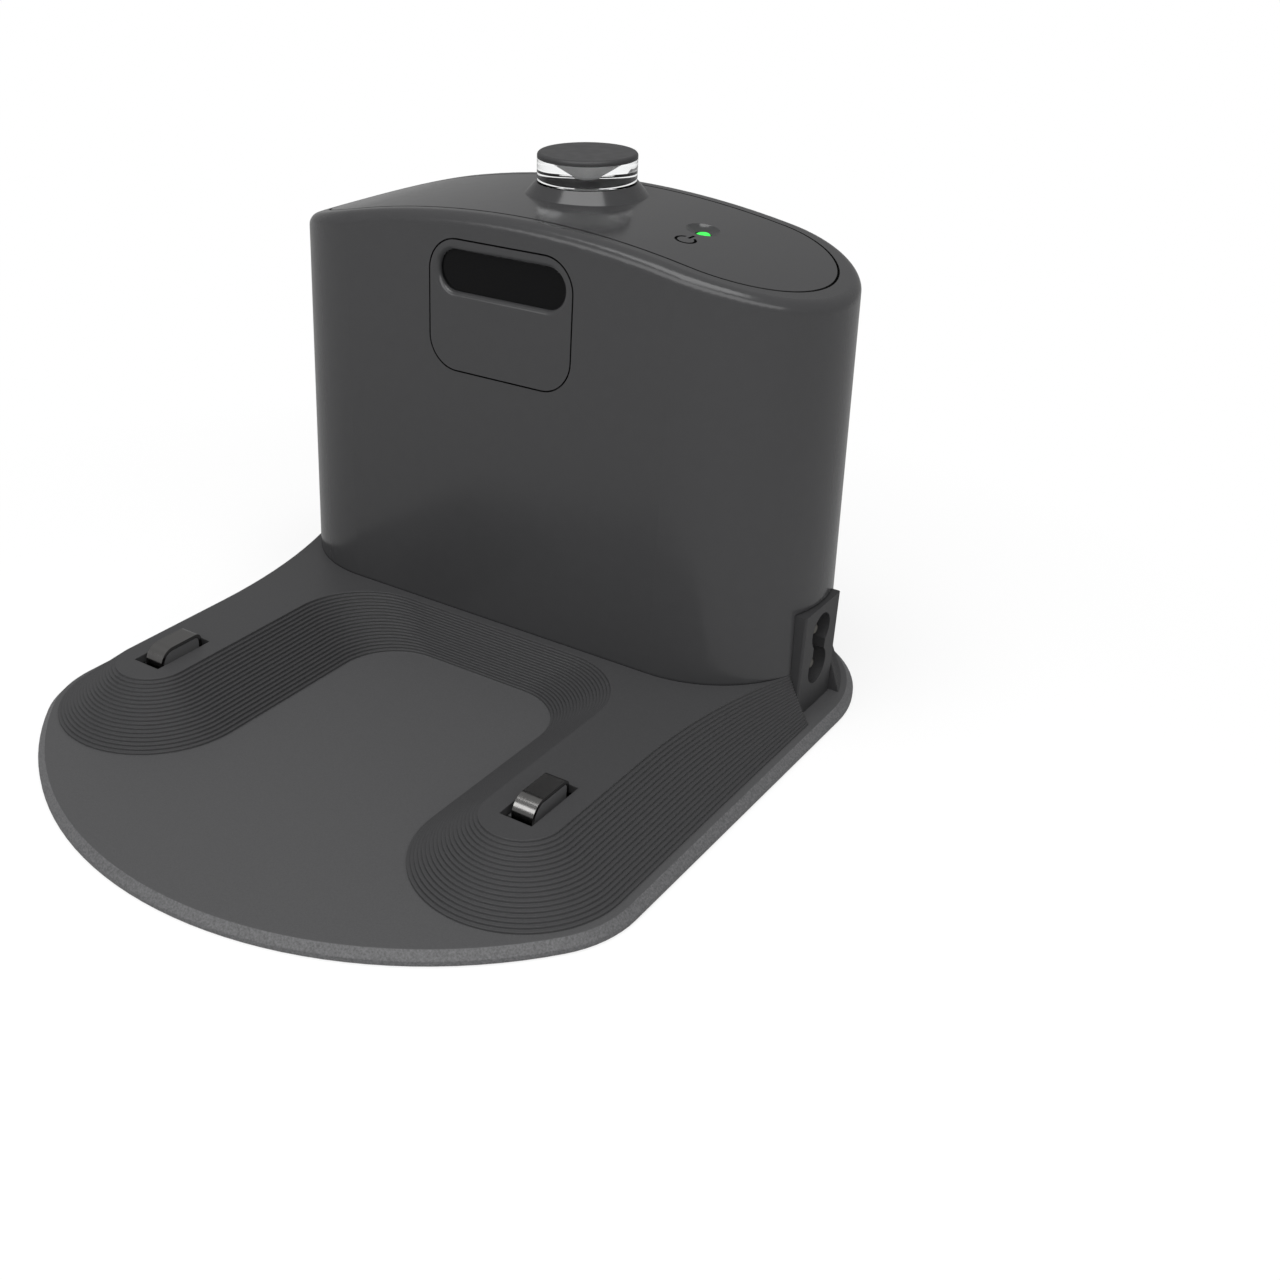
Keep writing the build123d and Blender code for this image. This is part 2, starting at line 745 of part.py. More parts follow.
with BuildPart() as board_screws:
    with BuildSketch(Plane.XZ.offset(-board_back_y)):
        with Locations(*board_screw_places):
            Circle(screw_head_r)
    extrude(amount=-screw_head_height)
    with BuildSketch(Plane.XZ.offset(-board_back_y)):
        with Locations(*board_screw_places):
            Circle(screw_shank_r)
    extrude(amount=screw_length - screw_hole_gap)
finish(board_screws, "board_screws")

# Front emitters in their shroud, behind the window
shroud_front_y = wall_y(window_centre_z) + tower_wall + 2 * part_gap
with BuildPart() as emitter_shroud:
    with BuildSketch(Plane.XZ.offset(-board_front_y)):
        with Locations((0, window_centre_z)):
            Rectangle(2 * emitter_x + 2 * led_r + 4 * emitter_wall, 2 * led_r + 2 * emitter_wall)
        with Locations((emitter_x, window_centre_z), (-emitter_x, window_centre_z)):
            Circle(led_r + part_gap, mode=Mode.SUBTRACT)
    extrude(amount=board_front_y - shroud_front_y)
finish(emitter_shroud, "emitter_shroud")

for side_name, side in sides:
    with BuildPart() as emitter:
        with BuildSketch(Plane.XZ.offset(-board_front_y)):
            with Locations((side * emitter_x, window_centre_z)):
                Circle(led_r)
        extrude(amount=led_length)
        fillet(faces().sort_by(Axis.Y)[0].edges(), radius=led_r - part_gap)
    finish(emitter, "ir_emitter_" + side_name)

# Transformer: a core with two windows, and the coil round its middle leg
with BuildPart() as transformer_coil:
    with BuildSketch(Plane((transformer_x, board_back_y, transformer_z - coil_height / 2))):
        Rectangle(coil_width, coil_depth, align=(Align.CENTER, Align.MIN))
        with Locations((0, coil_depth / 2)):
            Rectangle(core_leg + part_gap, core_depth + part_gap, mode=Mode.SUBTRACT)
    extrude(amount=coil_height)
finish(transformer_coil, "transformer_coil")

core_front_y = board_back_y + (coil_depth - core_depth) / 2
with BuildPart() as transformer_core:
    with BuildSketch(Plane.XZ.offset(-core_front_y)):
        with Locations((transformer_x, transformer_z)):
            Rectangle(core_width, core_height)
            window_centre_x = (core_leg + coil_width) / 4
        for window_x in (transformer_x - window_centre_x, transformer_x + window_centre_x):
            with Locations((window_x, transformer_z)):
                Rectangle((coil_width - core_leg) / 2 + part_gap, coil_height + part_gap, mode=Mode.SUBTRACT)
    extrude(amount=-core_depth)
finish(transformer_core, "transformer_core")

# Capacitors, standing on the board
for name, place_x, height, radius, length in capacitors:
    with BuildPart() as capacitor:
        with BuildSketch(Plane.XZ.offset(-board_back_y)):
            with Locations((place_x, height)):
                Circle(radius)
        extrude(amount=-length)
        fillet(edges().sort_by(Axis.Y)[-1], radius=radius / 8)
    finish(capacitor, name)

# Heat sink with its fins, and the transistor against it
with BuildPart() as heat_sink:
    with BuildSketch(Plane((heat_sink_x, board_back_y, heat_sink_z))):
        Rectangle(heat_sink_back, heat_sink_depth, align=(Align.MAX, Align.MIN))
        for fin in range(fin_count):
            with Locations((-heat_sink_back / 2, fin * (heat_sink_depth - heat_sink_fin) / (fin_count - 1))):
                Rectangle(heat_sink_width, heat_sink_fin, align=(Align.MAX, Align.MIN))
    extrude(amount=heat_sink_height)
finish(heat_sink, "heat_sink")

with BuildPart() as power_transistor:
    with BuildSketch(Plane((heat_sink_x, board_back_y, heat_sink_z + heat_sink_height / 2))):
        Rectangle(transistor_thickness, transistor_length, align=(Align.MIN, Align.MIN))
    extrude(amount=transistor_width / 2, both=True)
finish(power_transistor, "power_transistor")

# Fuse, upright along the board
with BuildPart() as fuse:
    with BuildSketch(Plane((fuse_x, board_back_y + fuse_r, fuse_z))):
        Circle(fuse_r)
    extrude(amount=fuse_length / 2, both=True)
finish(fuse, "fuse")

# Headers for the leads
for name, place_x, height, width, depth, rise in headers:
    with BuildPart() as header:
        with BuildSketch(Plane((place_x, board_back_y, height))):
            Rectangle(width, depth, align=(Align.CENTER, Align.MIN))
        extrude(amount=rise)
    finish(header, name)

# Mains inlet: block, figure-8 socket and two pins
pin_heights = (("upper", socket_centre_z + socket_pitch / 2), ("lower", socket_centre_z - socket_pitch / 2))
with BuildPart() as inlet_housing:
    with BuildSketch(Plane((inlet_back_x, inlet_centre_y, floor_z))):
        Rectangle(inlet_depth, inlet_width, align=(Align.MIN, Align.CENTER))
    extrude(amount=inlet_top_z - floor_z)
    fillet(faces().sort_by(Axis.X)[-1].edges().filter_by(Axis.Z), radius=inlet_edge_r)
    with BuildSketch(Plane.YZ.offset(inlet_face_x)):
        with Locations((inlet_centre_y, socket_centre_z)):
            Rectangle(socket_waist, socket_pitch)
        for pin_name, pin_z in pin_heights:
            with Locations((inlet_centre_y, pin_z)):
                Circle(socket_lobe_r)
    extrude(amount=-socket_depth, mode=Mode.SUBTRACT)
    with BuildSketch(Plane.YZ.offset(inlet_face_x)):
        for pin_name, pin_z in pin_heights:
            with Locations((inlet_centre_y, pin_z)):
                Circle(pin_r + screw_clearance)
    extrude(amount=-inlet_depth, mode=Mode.SUBTRACT)
finish(inlet_housing, "inlet_housing")

for pin_name, pin_z in pin_heights:
    with BuildPart() as inlet_pin:
        with BuildSketch(Plane.YZ.offset(inlet_back_x - pin_tail)):
            with Locations((inlet_centre_y, pin_z)):
                Circle(pin_r)
        extrude(amount=inlet_depth + pin_tail - pin_recess)
        fillet(faces().sort_by(Axis.X)[-1].edges(), radius=pin_r / 2)
    finish(inlet_pin, "inlet_pin_" + pin_name)

lead_start_x = inlet_back_x - pin_tail
for pin_name, pin_z, entry_z in (
    ("upper", pin_heights[0][1], mains_header_z + 3 * mains_header_rise / 4),
    ("lower", pin_heights[1][1], mains_header_z + mains_header_rise / 4),
):
    inlet_lead = wire(
        [
            (lead_start_x, inlet_centre_y, pin_z),
            (lead_start_x - inlet_lead_run, inlet_centre_y, pin_z),
            (mains_header_x + mains_header_width / 2 + inlet_lead_run, header_wire_y, entry_z),
            (mains_header_x + mains_header_width / 2, header_wire_y, entry_z),
        ]
    )
    finish(inlet_lead, "inlet_lead_" + pin_name)

# Link between the two boards
board_link = wire(
    [
        (link_header_x, board_back_y + link_header_depth, link_header_z + link_header_rise / 2),
        (link_header_x, top_board_min_y + link_inset, link_header_z + link_header_rise / 2),
        (link_header_x, top_board_min_y + link_inset, top_board_z),
    ]
)
finish(board_link, "board_link")

# Charging contacts, each a bent strip on a sprung carrier that plunges through its slot
carrier_front_y = strip_front_y + strip_thickness + carrier_clearance
carrier_top_z = strip_top_z - strip_thickness - carrier_clearance
inner_slack = strip_thickness + carrier_clearance
for side_name, side in sides:
    with BuildPart() as contact:
        with BuildSketch(Plane.YZ.offset(side * contact_x)) as bent_strip:
            with Locations((strip_front_y, spring_top_z)):
                Rectangle(strip_length, strip_top_z - spring_top_z, align=(Align.MIN, Align.MIN))
            fillet(bent_strip.vertices().group_by(Axis.Y)[-1].sort_by(Axis.X)[0], radius=strip_front_bend_r)
            fillet(bent_strip.vertices().group_by(Axis.Y)[-1].sort_by(Axis.X)[-1], radius=strip_rear_bend_r)
            offset(amount=-strip_thickness, mode=Mode.SUBTRACT)
            with Locations((strip_front_y, spring_top_z)):
                Rectangle(
                    strip_length / 2 - spring_r,
                    strip_thickness + carrier_flange_height / 2,
                    align=(Align.MIN, Align.MIN),
                    mode=Mode.SUBTRACT,
                )
        extrude(amount=strip_width / 2, both=True)
    finish(contact, "contact_" + side_name)

    with BuildPart() as carrier:
        with BuildSketch(Plane.YZ.offset(side * contact_x)) as block:
            with Locations((carrier_front_y, carrier_bottom_z + carrier_clearance)):
                Rectangle(
                    carrier_length,
                    carrier_top_z - carrier_bottom_z - carrier_clearance,
                    align=(Align.MIN, Align.MIN),
                )
            fillet(
                block.vertices().group_by(Axis.Y)[-1].sort_by(Axis.X)[0],
                radius=strip_front_bend_r - inner_slack,
            )
            fillet(
                block.vertices().group_by(Axis.Y)[-1].sort_by(Axis.X)[-1],
                radius=strip_rear_bend_r - inner_slack,
            )
        extrude(amount=strip_width / 2, both=True)
        with BuildSketch(Plane((side * contact_x, strip_centre_y, carrier_bottom_z + carrier_clearance))):
            Rectangle(carrier_flange_width, carrier_length)
        extrude(amount=carrier_flange_height - carrier_clearance)
    finish(carrier, "contact_carrier_" + side_name)

    coil_height_free = spring_top_z - spring_seat_z - 2 * spring_wire_r
    with BuildPart() as contact_spring:
        with BuildLine() as coil:
            Helix(
                pitch=coil_height_free / spring_turns,
                height=coil_height_free,
                radius=spring_r,
                center=(side * contact_x, strip_centre_y, spring_seat_z + spring_wire_r),
            )
        with BuildSketch(Plane(coil.line @ 0, z_dir=coil.line % 0)):
            Circle(spring_wire_r)
        sweep(path=coil.line, is_frenet=True)
    finish(contact_spring, "contact_spring_" + side_name)

    with BuildPart() as terminal:
        with BuildSketch(Plane((side * contact_x, strip_centre_y - terminal_size / 2, cover_seat_z))):
            Rectangle(terminal_size, terminal_size + terminal_tab, align=(Align.CENTER, Align.MIN))
            with Locations((0, terminal_size / 2)):
                Circle(spring_pin_r + part_gap, mode=Mode.SUBTRACT)
        extrude(amount=terminal_thickness)
    finish(terminal, "spring_terminal_" + side_name)

    lead_z = spring_seat_z + wire_r
    contact_lead = wire(
        [
            (side * contact_x, strip_centre_y + terminal_size / 2 + part_gap, lead_z),
            (side * contact_x, strip_centre_y + terminal_size / 2 + lead_straight, lead_z),
            (side * lead_lane_x, lead_lane_start_y, lead_z),
            (side * lead_lane_x, lead_lane_end_y, lead_z),
            (side * lead_turn_x, header_wire_y, lead_z),
            (side * contact_header_width / 4, header_wire_y, lead_z),
            (side * contact_header_width / 4, header_wire_y, contact_header_z),
        ]
    )
    finish(contact_lead, "contact_lead_" + side_name)

# Bottom cover, let into the base from below
cover_places = [(side * place_x, place_y) for side in (1, -1) for place_x, place_y in cover_post_places]
rear_foot_places = [(side * rear_foot_x, rear_foot_y) for side in (1, -1)]
with BuildPart() as bottom_cover:
    with BuildSketch(Plane.XY.offset(lip_bottom_z)):
        add(tread_plan(cavity_levels[-1], inset=deck_wall - cover_rebate + part_gap))
        with Locations(*cover_places):
            Circle(screw_shank_r + screw_hole_gap, mode=Mode.SUBTRACT)
    extrude(amount=cover_plate_thickness)
    with BuildSketch(Plane.XY.offset(lip_bottom_z)):
        with Locations(*cover_places):
            Circle(screw_head_r + screw_hole_gap)
    extrude(amount=screw_head_height + part_gap, mode=Mode.SUBTRACT)
    with BuildSketch(Plane.XY.offset(lip_bottom_z)):
        with Locations(*rear_foot_places):
            Circle(foot_r + part_gap)
    extrude(amount=foot_height - lip_bottom_z, mode=Mode.SUBTRACT)
    with BuildSketch(Plane.XY.offset(cover_seat_z)):
        with Locations((contact_x, strip_centre_y), (-contact_x, strip_centre_y)):
            Circle(spring_pin_r)
    extrude(amount=spring_pin_height)
finish(bottom_cover, "bottom_cover")

with BuildPart() as cover_screws:
    screw_head_z = lip_bottom_z + screw_head_height + part_gap
    with BuildSketch(Plane.XY.offset(screw_head_z)):
        with Locations(*cover_places):
            Circle(screw_head_r)
    extrude(amount=-screw_head_height)
    with BuildSketch(Plane.XY.offset(screw_head_z)):
        with Locations(*cover_places):
            Circle(screw_shank_r)
    extrude(amount=screw_length)
finish(cover_screws, "cover_screws")

with BuildPart() as tower_screws:
    with BuildSketch(Plane((0, tower_centre_y, deck_underside_z))):
        with GridLocations(2 * tower_boss_x, 2 * tower_boss_spread_y, 2, 2):
            Circle(screw_head_r)
    extrude(amount=-screw_head_height)
    with BuildSketch(Plane((0, tower_centre_y, deck_underside_z))):
        with GridLocations(2 * tower_boss_x, 2 * tower_boss_spread_y, 2, 2):
            Circle(screw_shank_r)
    extrude(amount=screw_length)
finish(tower_screws, "tower_screws")

# Rubber feet
for place_name, place_y in (("front", front_foot_y), ("rear", rear_foot_y)):
    for side_name, side in sides:
        place_x = front_foot_x if place_name == "front" else rear_foot_x
        with BuildPart() as foot:
            with BuildSketch(Plane((side * place_x, place_y, 0))):
                Circle(foot_r)
            extrude(amount=foot_height)
            chamfer(faces().sort_by(Axis.Z)[0].edges(), length=foot_chamfer)
        finish(foot, "foot_" + place_name + "_" + side_name)
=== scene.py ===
"""Looks of a robot vacuum charging dock: its shells, sprung contacts, clear beacon and mains inlet."""

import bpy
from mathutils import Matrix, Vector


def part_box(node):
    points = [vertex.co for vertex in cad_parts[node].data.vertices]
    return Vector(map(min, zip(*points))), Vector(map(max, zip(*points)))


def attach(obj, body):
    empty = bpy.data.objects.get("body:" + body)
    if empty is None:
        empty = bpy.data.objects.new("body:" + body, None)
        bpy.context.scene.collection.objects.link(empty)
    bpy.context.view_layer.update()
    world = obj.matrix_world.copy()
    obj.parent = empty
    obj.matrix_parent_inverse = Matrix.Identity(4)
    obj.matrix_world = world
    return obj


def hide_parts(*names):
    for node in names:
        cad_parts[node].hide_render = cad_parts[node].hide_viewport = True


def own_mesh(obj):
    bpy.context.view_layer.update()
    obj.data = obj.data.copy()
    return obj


bl_info = {
    "name": "Charging dock looks",
    "version": (1, 0, 0),
    "blender": (4, 5, 0),
    "location": "View3D > Sidebar > Dock",
    "description": "Finishes the shells, contacts, beacon and inlet of a robot vacuum charging dock",
    "category": "Object",
}

import math

import bpy
from bpy.props import FloatProperty, FloatVectorProperty, PointerProperty
from mathutils import Vector

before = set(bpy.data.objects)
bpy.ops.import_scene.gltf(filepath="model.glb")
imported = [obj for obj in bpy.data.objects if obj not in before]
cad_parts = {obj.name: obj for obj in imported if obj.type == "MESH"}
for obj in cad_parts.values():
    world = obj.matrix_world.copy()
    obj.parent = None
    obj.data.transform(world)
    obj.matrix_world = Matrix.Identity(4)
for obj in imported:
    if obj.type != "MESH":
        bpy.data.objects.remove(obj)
MM = 0.001
FULL_TURN = math.radians(360)
# In radians: faces that meet at less than this are shaded as one curve
SMOOTH_ANGLE = 0.6
# Points of a new piece that lie closer than this are the same point
SAME_POINT = 0.001 * MM

# Where the contact springs stand, to the left and right of the middle
CONTACT_X = 50 * MM
CONTACT_Y = -29.61 * MM

# Most of a noise texture's values lie between these two
NOISE_LOW, NOISE_HIGH = 0.3, 0.7
# Rays that the ambient occlusion and bevel nodes send from each point
EDGE_SAMPLES = 6
# Painted seam shade: how open to the sky a point is where the shade is thickest and where it ends, and its
# darkest tone
SEAM_SHADE_FULL, SEAM_SHADE_END, SEAM_SHADE_TONE = 0.45, 0.85, 0.1
# Refractive index of ABS, and about that of the other moulded materials
PLASTIC_IOR = 1.53

# The camera's place, direction and shift, found from the photo's straight edges
CAMERA_PLACE = (0.181646, -0.222661, 0.175594)
CAMERA_DIRECTION = (-0.50281, 0.69175, -0.51833)
CAMERA_SHIFT_X, CAMERA_SHIFT_Y = 0.10659, 0.05320

# Tone of the cards round the stage, on a scale from black to white
WALL_TONE, FLOOR_CARD_TONE, CEILING_TONE = 0.3, 0.4, 0.35
# Colour and strength of the light from all round
WHITE = (1.0, 1.0, 1.0, 1.0)
SKY_STRENGTH = 0.35
# In radians: the top lamp is turned about as far round as the camera stands
TOP_LAMP_TURN = 0.628
# The floor stays a hair below the feet, so that no two faces lie in one plane
FLOOR_DROP = 0.02 * MM
# The card that the gloss shows as a floor lies a hair above the real one
CARD_LIFT = 0.1 * MM
# Share of plain white in the floor right under the dock, where its shadow falls
WHITE_AT_DOCK = 0.75


def linear(hex_colour):
    """Turns an sRGB hex colour to linear red, green and blue with an alpha of one."""
    parts = [int(hex_colour[i : i + 2], 16) / 255 for i in (1, 3, 5)]
    return [p / 12.92 if p <= 0.04045 else ((p + 0.055) / 1.055) ** 2.4 for p in parts] + [1.0]


def colour_property(name, description, hex_colour):
    return FloatVectorProperty(
        name=name,
        description=description,
        subtype="COLOR",
        size=4,
        min=0.0,
        max=1.0,
        default=linear(hex_colour),
    )


def length_property(name, description, metres):
    return FloatProperty(
        name=name, description=description, default=metres, min=0.0, unit="LENGTH", precision=5
    )


class DockColours(bpy.types.PropertyGroup):
    tower: colour_property("Tower", "Colour of the upright shell", "#3e3e3f")
    base: colour_property("Base floor", "Colour of the textured low part of the base", "#4d4d4e")
    deck: colour_property("Deck", "Colour of the smoother raised deck and its treads", "#404041")
    cover: colour_property("Top cover", "Colour of the smooth top cover", "#3c3c3d")
    window: colour_property("Window", "Colour of the dark infrared window", "#0b0b0c")
    light: colour_property("Charging light", "Colour of the lit charging light", "#35dc4c")
    inlet: colour_property("Inlet", "Colour of the mains inlet block", "#363637")
    floor: colour_property("Floor", "Colour of the plain floor", "#ffffff")


class DockSizes(bpy.types.PropertyGroup):
    grain: length_property("Base grain", "Grain of the spark-eroded texture on the base", 0.35 * MM)
    peel: length_property("Tower ripple", "Width of the slight ripple in the polished faces", 2.5 * MM)
    rim_grain: length_property("Rim grain", "Grain of the coarser texture on the base's rim", 0.45 * MM)
    rim_top: length_property("Rim height", "Height below which the base's rim is coarser", 2.84 * MM)
    seam: length_property("Painted seam shade", "Reach of the dark edges along the seams", 0.9 * MM)
    tread_edge: length_property("Tread rounding", "Radius that rounds off the treads' edges", 0.35 * MM)
    deck_start: length_property("Deck start", "Height where the base's coarse texture ends", 3.0 * MM)
    floor_width: length_property("Floor width", "Width of the floor that the dock stands on", 6.0)
    clear_of_shadow: length_property("Shadow reach", "Distance past which the floor is plain white", 0.22)
    wall_distance: length_property("Studio wall", "Distance of the studio's dark walls", 1.5)
    spring_radius: length_property("Spring radius", "From a spring's axis to its wire's middle", 2.1 * MM)
    spring_wire: length_property("Spring wire", "Radius of the wire of the contact springs", 0.25 * MM)
    spring_foot: length_property("Spring foot", "Height of the contact springs' lower end", 2.7 * MM)
    spring_free: length_property("Spring length", "Length at rest, a hair clear of the strip", 5.99 * MM)
    press: length_property("Press", "How far a contact can be pressed down", 2.3 * MM)
    glue: length_property("Glue line", "How far the glued pieces reach into the lens", 0.03 * MM)
    beacon_gap: length_property("Beacon gap", "Gap that the cone's solid leaves to the lens", 0.15 * MM)
    cone_tip_radius: length_property("Cone tip", "Radius of the cone's rounded tip", 1.95 * MM)
    cone_tip_height: length_property("Cone tip height", "Height of the cone's rounded tip", 0.55 * MM)
    filter_edge: length_property("Filter edge", "Chamfer round the filter's lower edge", 0.15 * MM)
    lens: FloatProperty(
        name="Camera lens",
        description="Focal length of the camera on a 36 mm sensor",
        default=41.914,
        min=10.0,
        max=200.0,
        unit="CAMERA",
    )


def add_node(tree, kind, inputs=None, **settings):
    """Adds a node, sets its fields, and fills its inputs. A tuple of node and output name is a link."""
    node = tree.nodes.new(kind)
    for key, value in settings.items():
        setattr(node, key, value)
    for key, value in (inputs or {}).items():
        if isinstance(value, tuple) and isinstance(value[0], bpy.types.Node):
            tree.links.new(value[0].outputs[value[1]], node.inputs[key])
        else:
            node.inputs[key].default_value = value
    return node


def new_material(name):
    """An empty node material, and the tree to fill."""
    material = bpy.data.materials.new(name)
    material.use_nodes = True
    material.node_tree.nodes.clear()
    return material, material.node_tree


def object_noise(tree, width, detail=3.0, stretch=(1.0, 1.0, 1.0)):
    """Noise on the object's own coordinates, whose patches are about as wide as given, in metres."""
    coords = add_node(tree, "ShaderNodeTexCoord")
    mapping = add_node(tree, "ShaderNodeMapping", {"Vector": (coords, "Object"), "Scale": stretch})
    return add_node(
        tree,
        "ShaderNodeTexNoise",
        {"Vector": (mapping, "Vector"), "Scale": 1 / width, "Detail": detail, "Roughness": 0.6},
    )


def between(noise, low, high):
    """The inputs with which a range mapping spreads the middle of a noise from low to high."""
    return {
        "Value": (noise, "Fac"),
        "From Min": NOISE_LOW,
        "From Max": NOISE_HIGH,
        "To Min": low,
        "To Max": high,
    }


def moulded(name, colour, roughness, grain, depth, speckle, level=0.5, seam=0.0, detail=3.0):
    """Moulded or pressed material: a fine grain breaks up its gloss and colour, at a real size in metres.

    With a seam, its edges along gaps narrower than that are darker: painted shade, from how little of the
    sky they see.
    """
    material, tree = new_material(name)
    fine = object_noise(tree, grain, detail)
    tone = add_node(tree, "ShaderNodeMapRange", between(fine, 1 - speckle, 1 + speckle))
    # Painted shade: ambient occlusion darkens the colour along seams and gaps within the seam's reach
    if seam:
        nearby = add_node(tree, "ShaderNodeAmbientOcclusion", {"Distance": seam}, samples=EDGE_SAMPLES)
        seam_shade = add_node(
            tree,
            "ShaderNodeMapRange",
            {"Value": (nearby, "AO"), "From Min": SEAM_SHADE_FULL, "From Max": SEAM_SHADE_END, "To Min": SEAM_SHADE_TONE},
        )
        tone = add_node(
            tree,
            "ShaderNodeMapRange",
            {"Value": (seam_shade, "Result"), "To Min": 0.0, "To Max": (tone, "Result")},
        )
    tint = add_node(
        tree, "ShaderNodeVectorMath", {0: colour[:3], "Scale": (tone, "Result")}, operation="SCALE"
    )
    # The grain's hollows are a little glossier than its ridges
    gloss = add_node(tree, "ShaderNodeMapRange", between(fine, roughness * 0.94, roughness * 1.06))
    bump = add_node(tree, "ShaderNodeBump", {"Height": (fine, "Fac"), "Distance": depth, "Strength": 1.0})
    shader = add_node(
        tree,
        "ShaderNodeBsdfPrincipled",
        {
            "Base Color": (tint, "Vector"),
            "Roughness": (gloss, "Result"),
            "IOR": PLASTIC_IOR,
            "Specular IOR Level": level,
            "Normal": (bump, "Normal"),
        },
    )
    add_node(tree, "ShaderNodeOutputMaterial", {"Surface": (shader, "BSDF")})
    return material


def base_plastic(name, floor_colour, deck_colour, sizes):
    """Plastic of the base: spark-eroded below the treads, and smoother and darker on treads and deck."""
    # Height over which one texture passes into the next
    deck_blend, rim_blend = 0.1 * MM, 0.05 * MM
    # Darkest and lightest share of the colour, in the floor's grain and in the rim's; the rim's shares are
    # raised above one as painted light for the front light on its bevel
    floor_grain, rim_grain = (0.92, 1.08), (1.05, 1.9)
    floor_roughness, deck_roughness = 0.55, 0.45
    # Depth of the grain on the floor, and the share of it that is left on the deck
    grain_depth, deck_share = 0.03 * MM, 0.3
    material, tree = new_material(name)
    fine = object_noise(tree, sizes.grain)
    coords = add_node(tree, "ShaderNodeTexCoord")
    place = add_node(tree, "ShaderNodeSeparateXYZ", {"Vector": (coords, "Object")})
    on_deck = add_node(
        tree,
        "ShaderNodeMapRange",
        {"Value": (place, "Z"), "From Min": sizes.deck_start, "From Max": sizes.deck_start + deck_blend},
    )
    colour = add_node(
        tree,
        "ShaderNodeMix",
        {"Factor": (on_deck, "Result"), "A": floor_colour, "B": deck_colour},
        data_type="RGBA",
    )
    # The rim has a coarser grain, and its colour is raised as painted light, standing for the front light
    # that its bevel catches
    on_rim = add_node(
        tree,
        "ShaderNodeMapRange",
        {
            "Value": (place, "Z"),
            "From Min": sizes.rim_top,
            "From Max": sizes.rim_top + rim_blend,
            "To Min": 1.0,
            "To Max": 0.0,
        },
    )
    coarse = object_noise(tree, sizes.rim_grain, detail=2.0)
    speckle = add_node(tree, "ShaderNodeMapRange", between(fine, *floor_grain))
    # Painted highlight: the rim's tone is raised well above its own colour
    grit = add_node(tree, "ShaderNodeMapRange", between(coarse, *rim_grain))
    level = add_node(
        tree,
        "ShaderNodeMix",
        {"Factor": (on_rim, "Result"), "A": (speckle, "Result"), "B": (grit, "Result")},
        data_type="FLOAT",
    )
    tint = add_node(
        tree,
        "ShaderNodeVectorMath",
        {0: (colour, "Result"), "Scale": (level, "Result")},
        operation="SCALE",
    )
    gloss = add_node(
        tree,
        "ShaderNodeMapRange",
        {"Value": (on_deck, "Result"), "To Min": floor_roughness, "To Max": deck_roughness},
    )
    depth = add_node(
        tree,
        "ShaderNodeMapRange",
        {"Value": (on_deck, "Result"), "To Min": 1.0, "To Max": deck_share},
    )
    # The treads' edges are rounded off by the mould's polishing
    rounded = add_node(tree, "ShaderNodeBevel", {"Radius": sizes.tread_edge}, samples=EDGE_SAMPLES)
    bump = add_node(
        tree,
        "ShaderNodeBump",
        {
            "Height": (fine, "Fac"),
            "Distance": grain_depth,
            "Strength": (depth, "Result"),
            "Normal": (rounded, "Normal"),
        },
    )
    shader = add_node(
        tree,
        "ShaderNodeBsdfPrincipled",
        {
            "Base Color": (tint, "Vector"),
            "Roughness": (gloss, "Result"),
            "IOR": PLASTIC_IOR,
            "Specular IOR Level": 0.35,
            "Normal": (bump, "Normal"),
        },
    )
    add_node(tree, "ShaderNodeOutputMaterial", {"Surface": (shader, "BSDF")})
    return material


def metal(name, colour, roughness, grain, stretch=(1.0, 1.0, 1.0), depth=0.0):
    """Bare or plated metal, with faint draw lines or grit that break up its gloss."""
    material, tree = new_material(name)
    lines = object_noise(tree, grain, stretch=stretch)
    # The lines' bottoms are glossier than the metal between them
    gloss = add_node(tree, "ShaderNodeMapRange", between(lines, roughness * 0.8, roughness * 1.25))
    bump = add_node(tree, "ShaderNodeBump", {"Height": (lines, "Fac"), "Distance": depth, "Strength": 1.0})
    shader = add_node(
        tree,
        "ShaderNodeBsdfPrincipled",
        {
            "Base Color": colour,
            "Metallic": 1.0,
            "Roughness": (gloss, "Result"),
            "Normal": (bump, "Normal"),
        },
    )
    add_node(tree, "ShaderNodeOutputMaterial", {"Surface": (shader, "BSDF")})
    return material


def clear_plastic(name, colour, roughness, ior):
    """Clear plastic, cast or moulded, with a faint ripple from its mould."""
    material, tree = new_material(name)
    ripple_width, ripple_depth = 4 * MM, 0.01 * MM
    ripple = object_noise(tree, ripple_width, detail=1.0)
    bump = add_node(
        tree, "ShaderNodeBump", {"Height": (ripple, "Fac"), "Distance": ripple_depth, "Strength": 1.0}
    )
    shader = add_node(
        tree,
        "ShaderNodeBsdfPrincipled",
        {
            "Base Color": colour,
            "Roughness": roughness,
            "IOR": ior,
            "Transmission Weight": 1.0,
            "Normal": (bump, "Normal"),
        },
    )
    add_node(tree, "ShaderNodeOutputMaterial", {"Surface": (shader, "BSDF")})
    return material


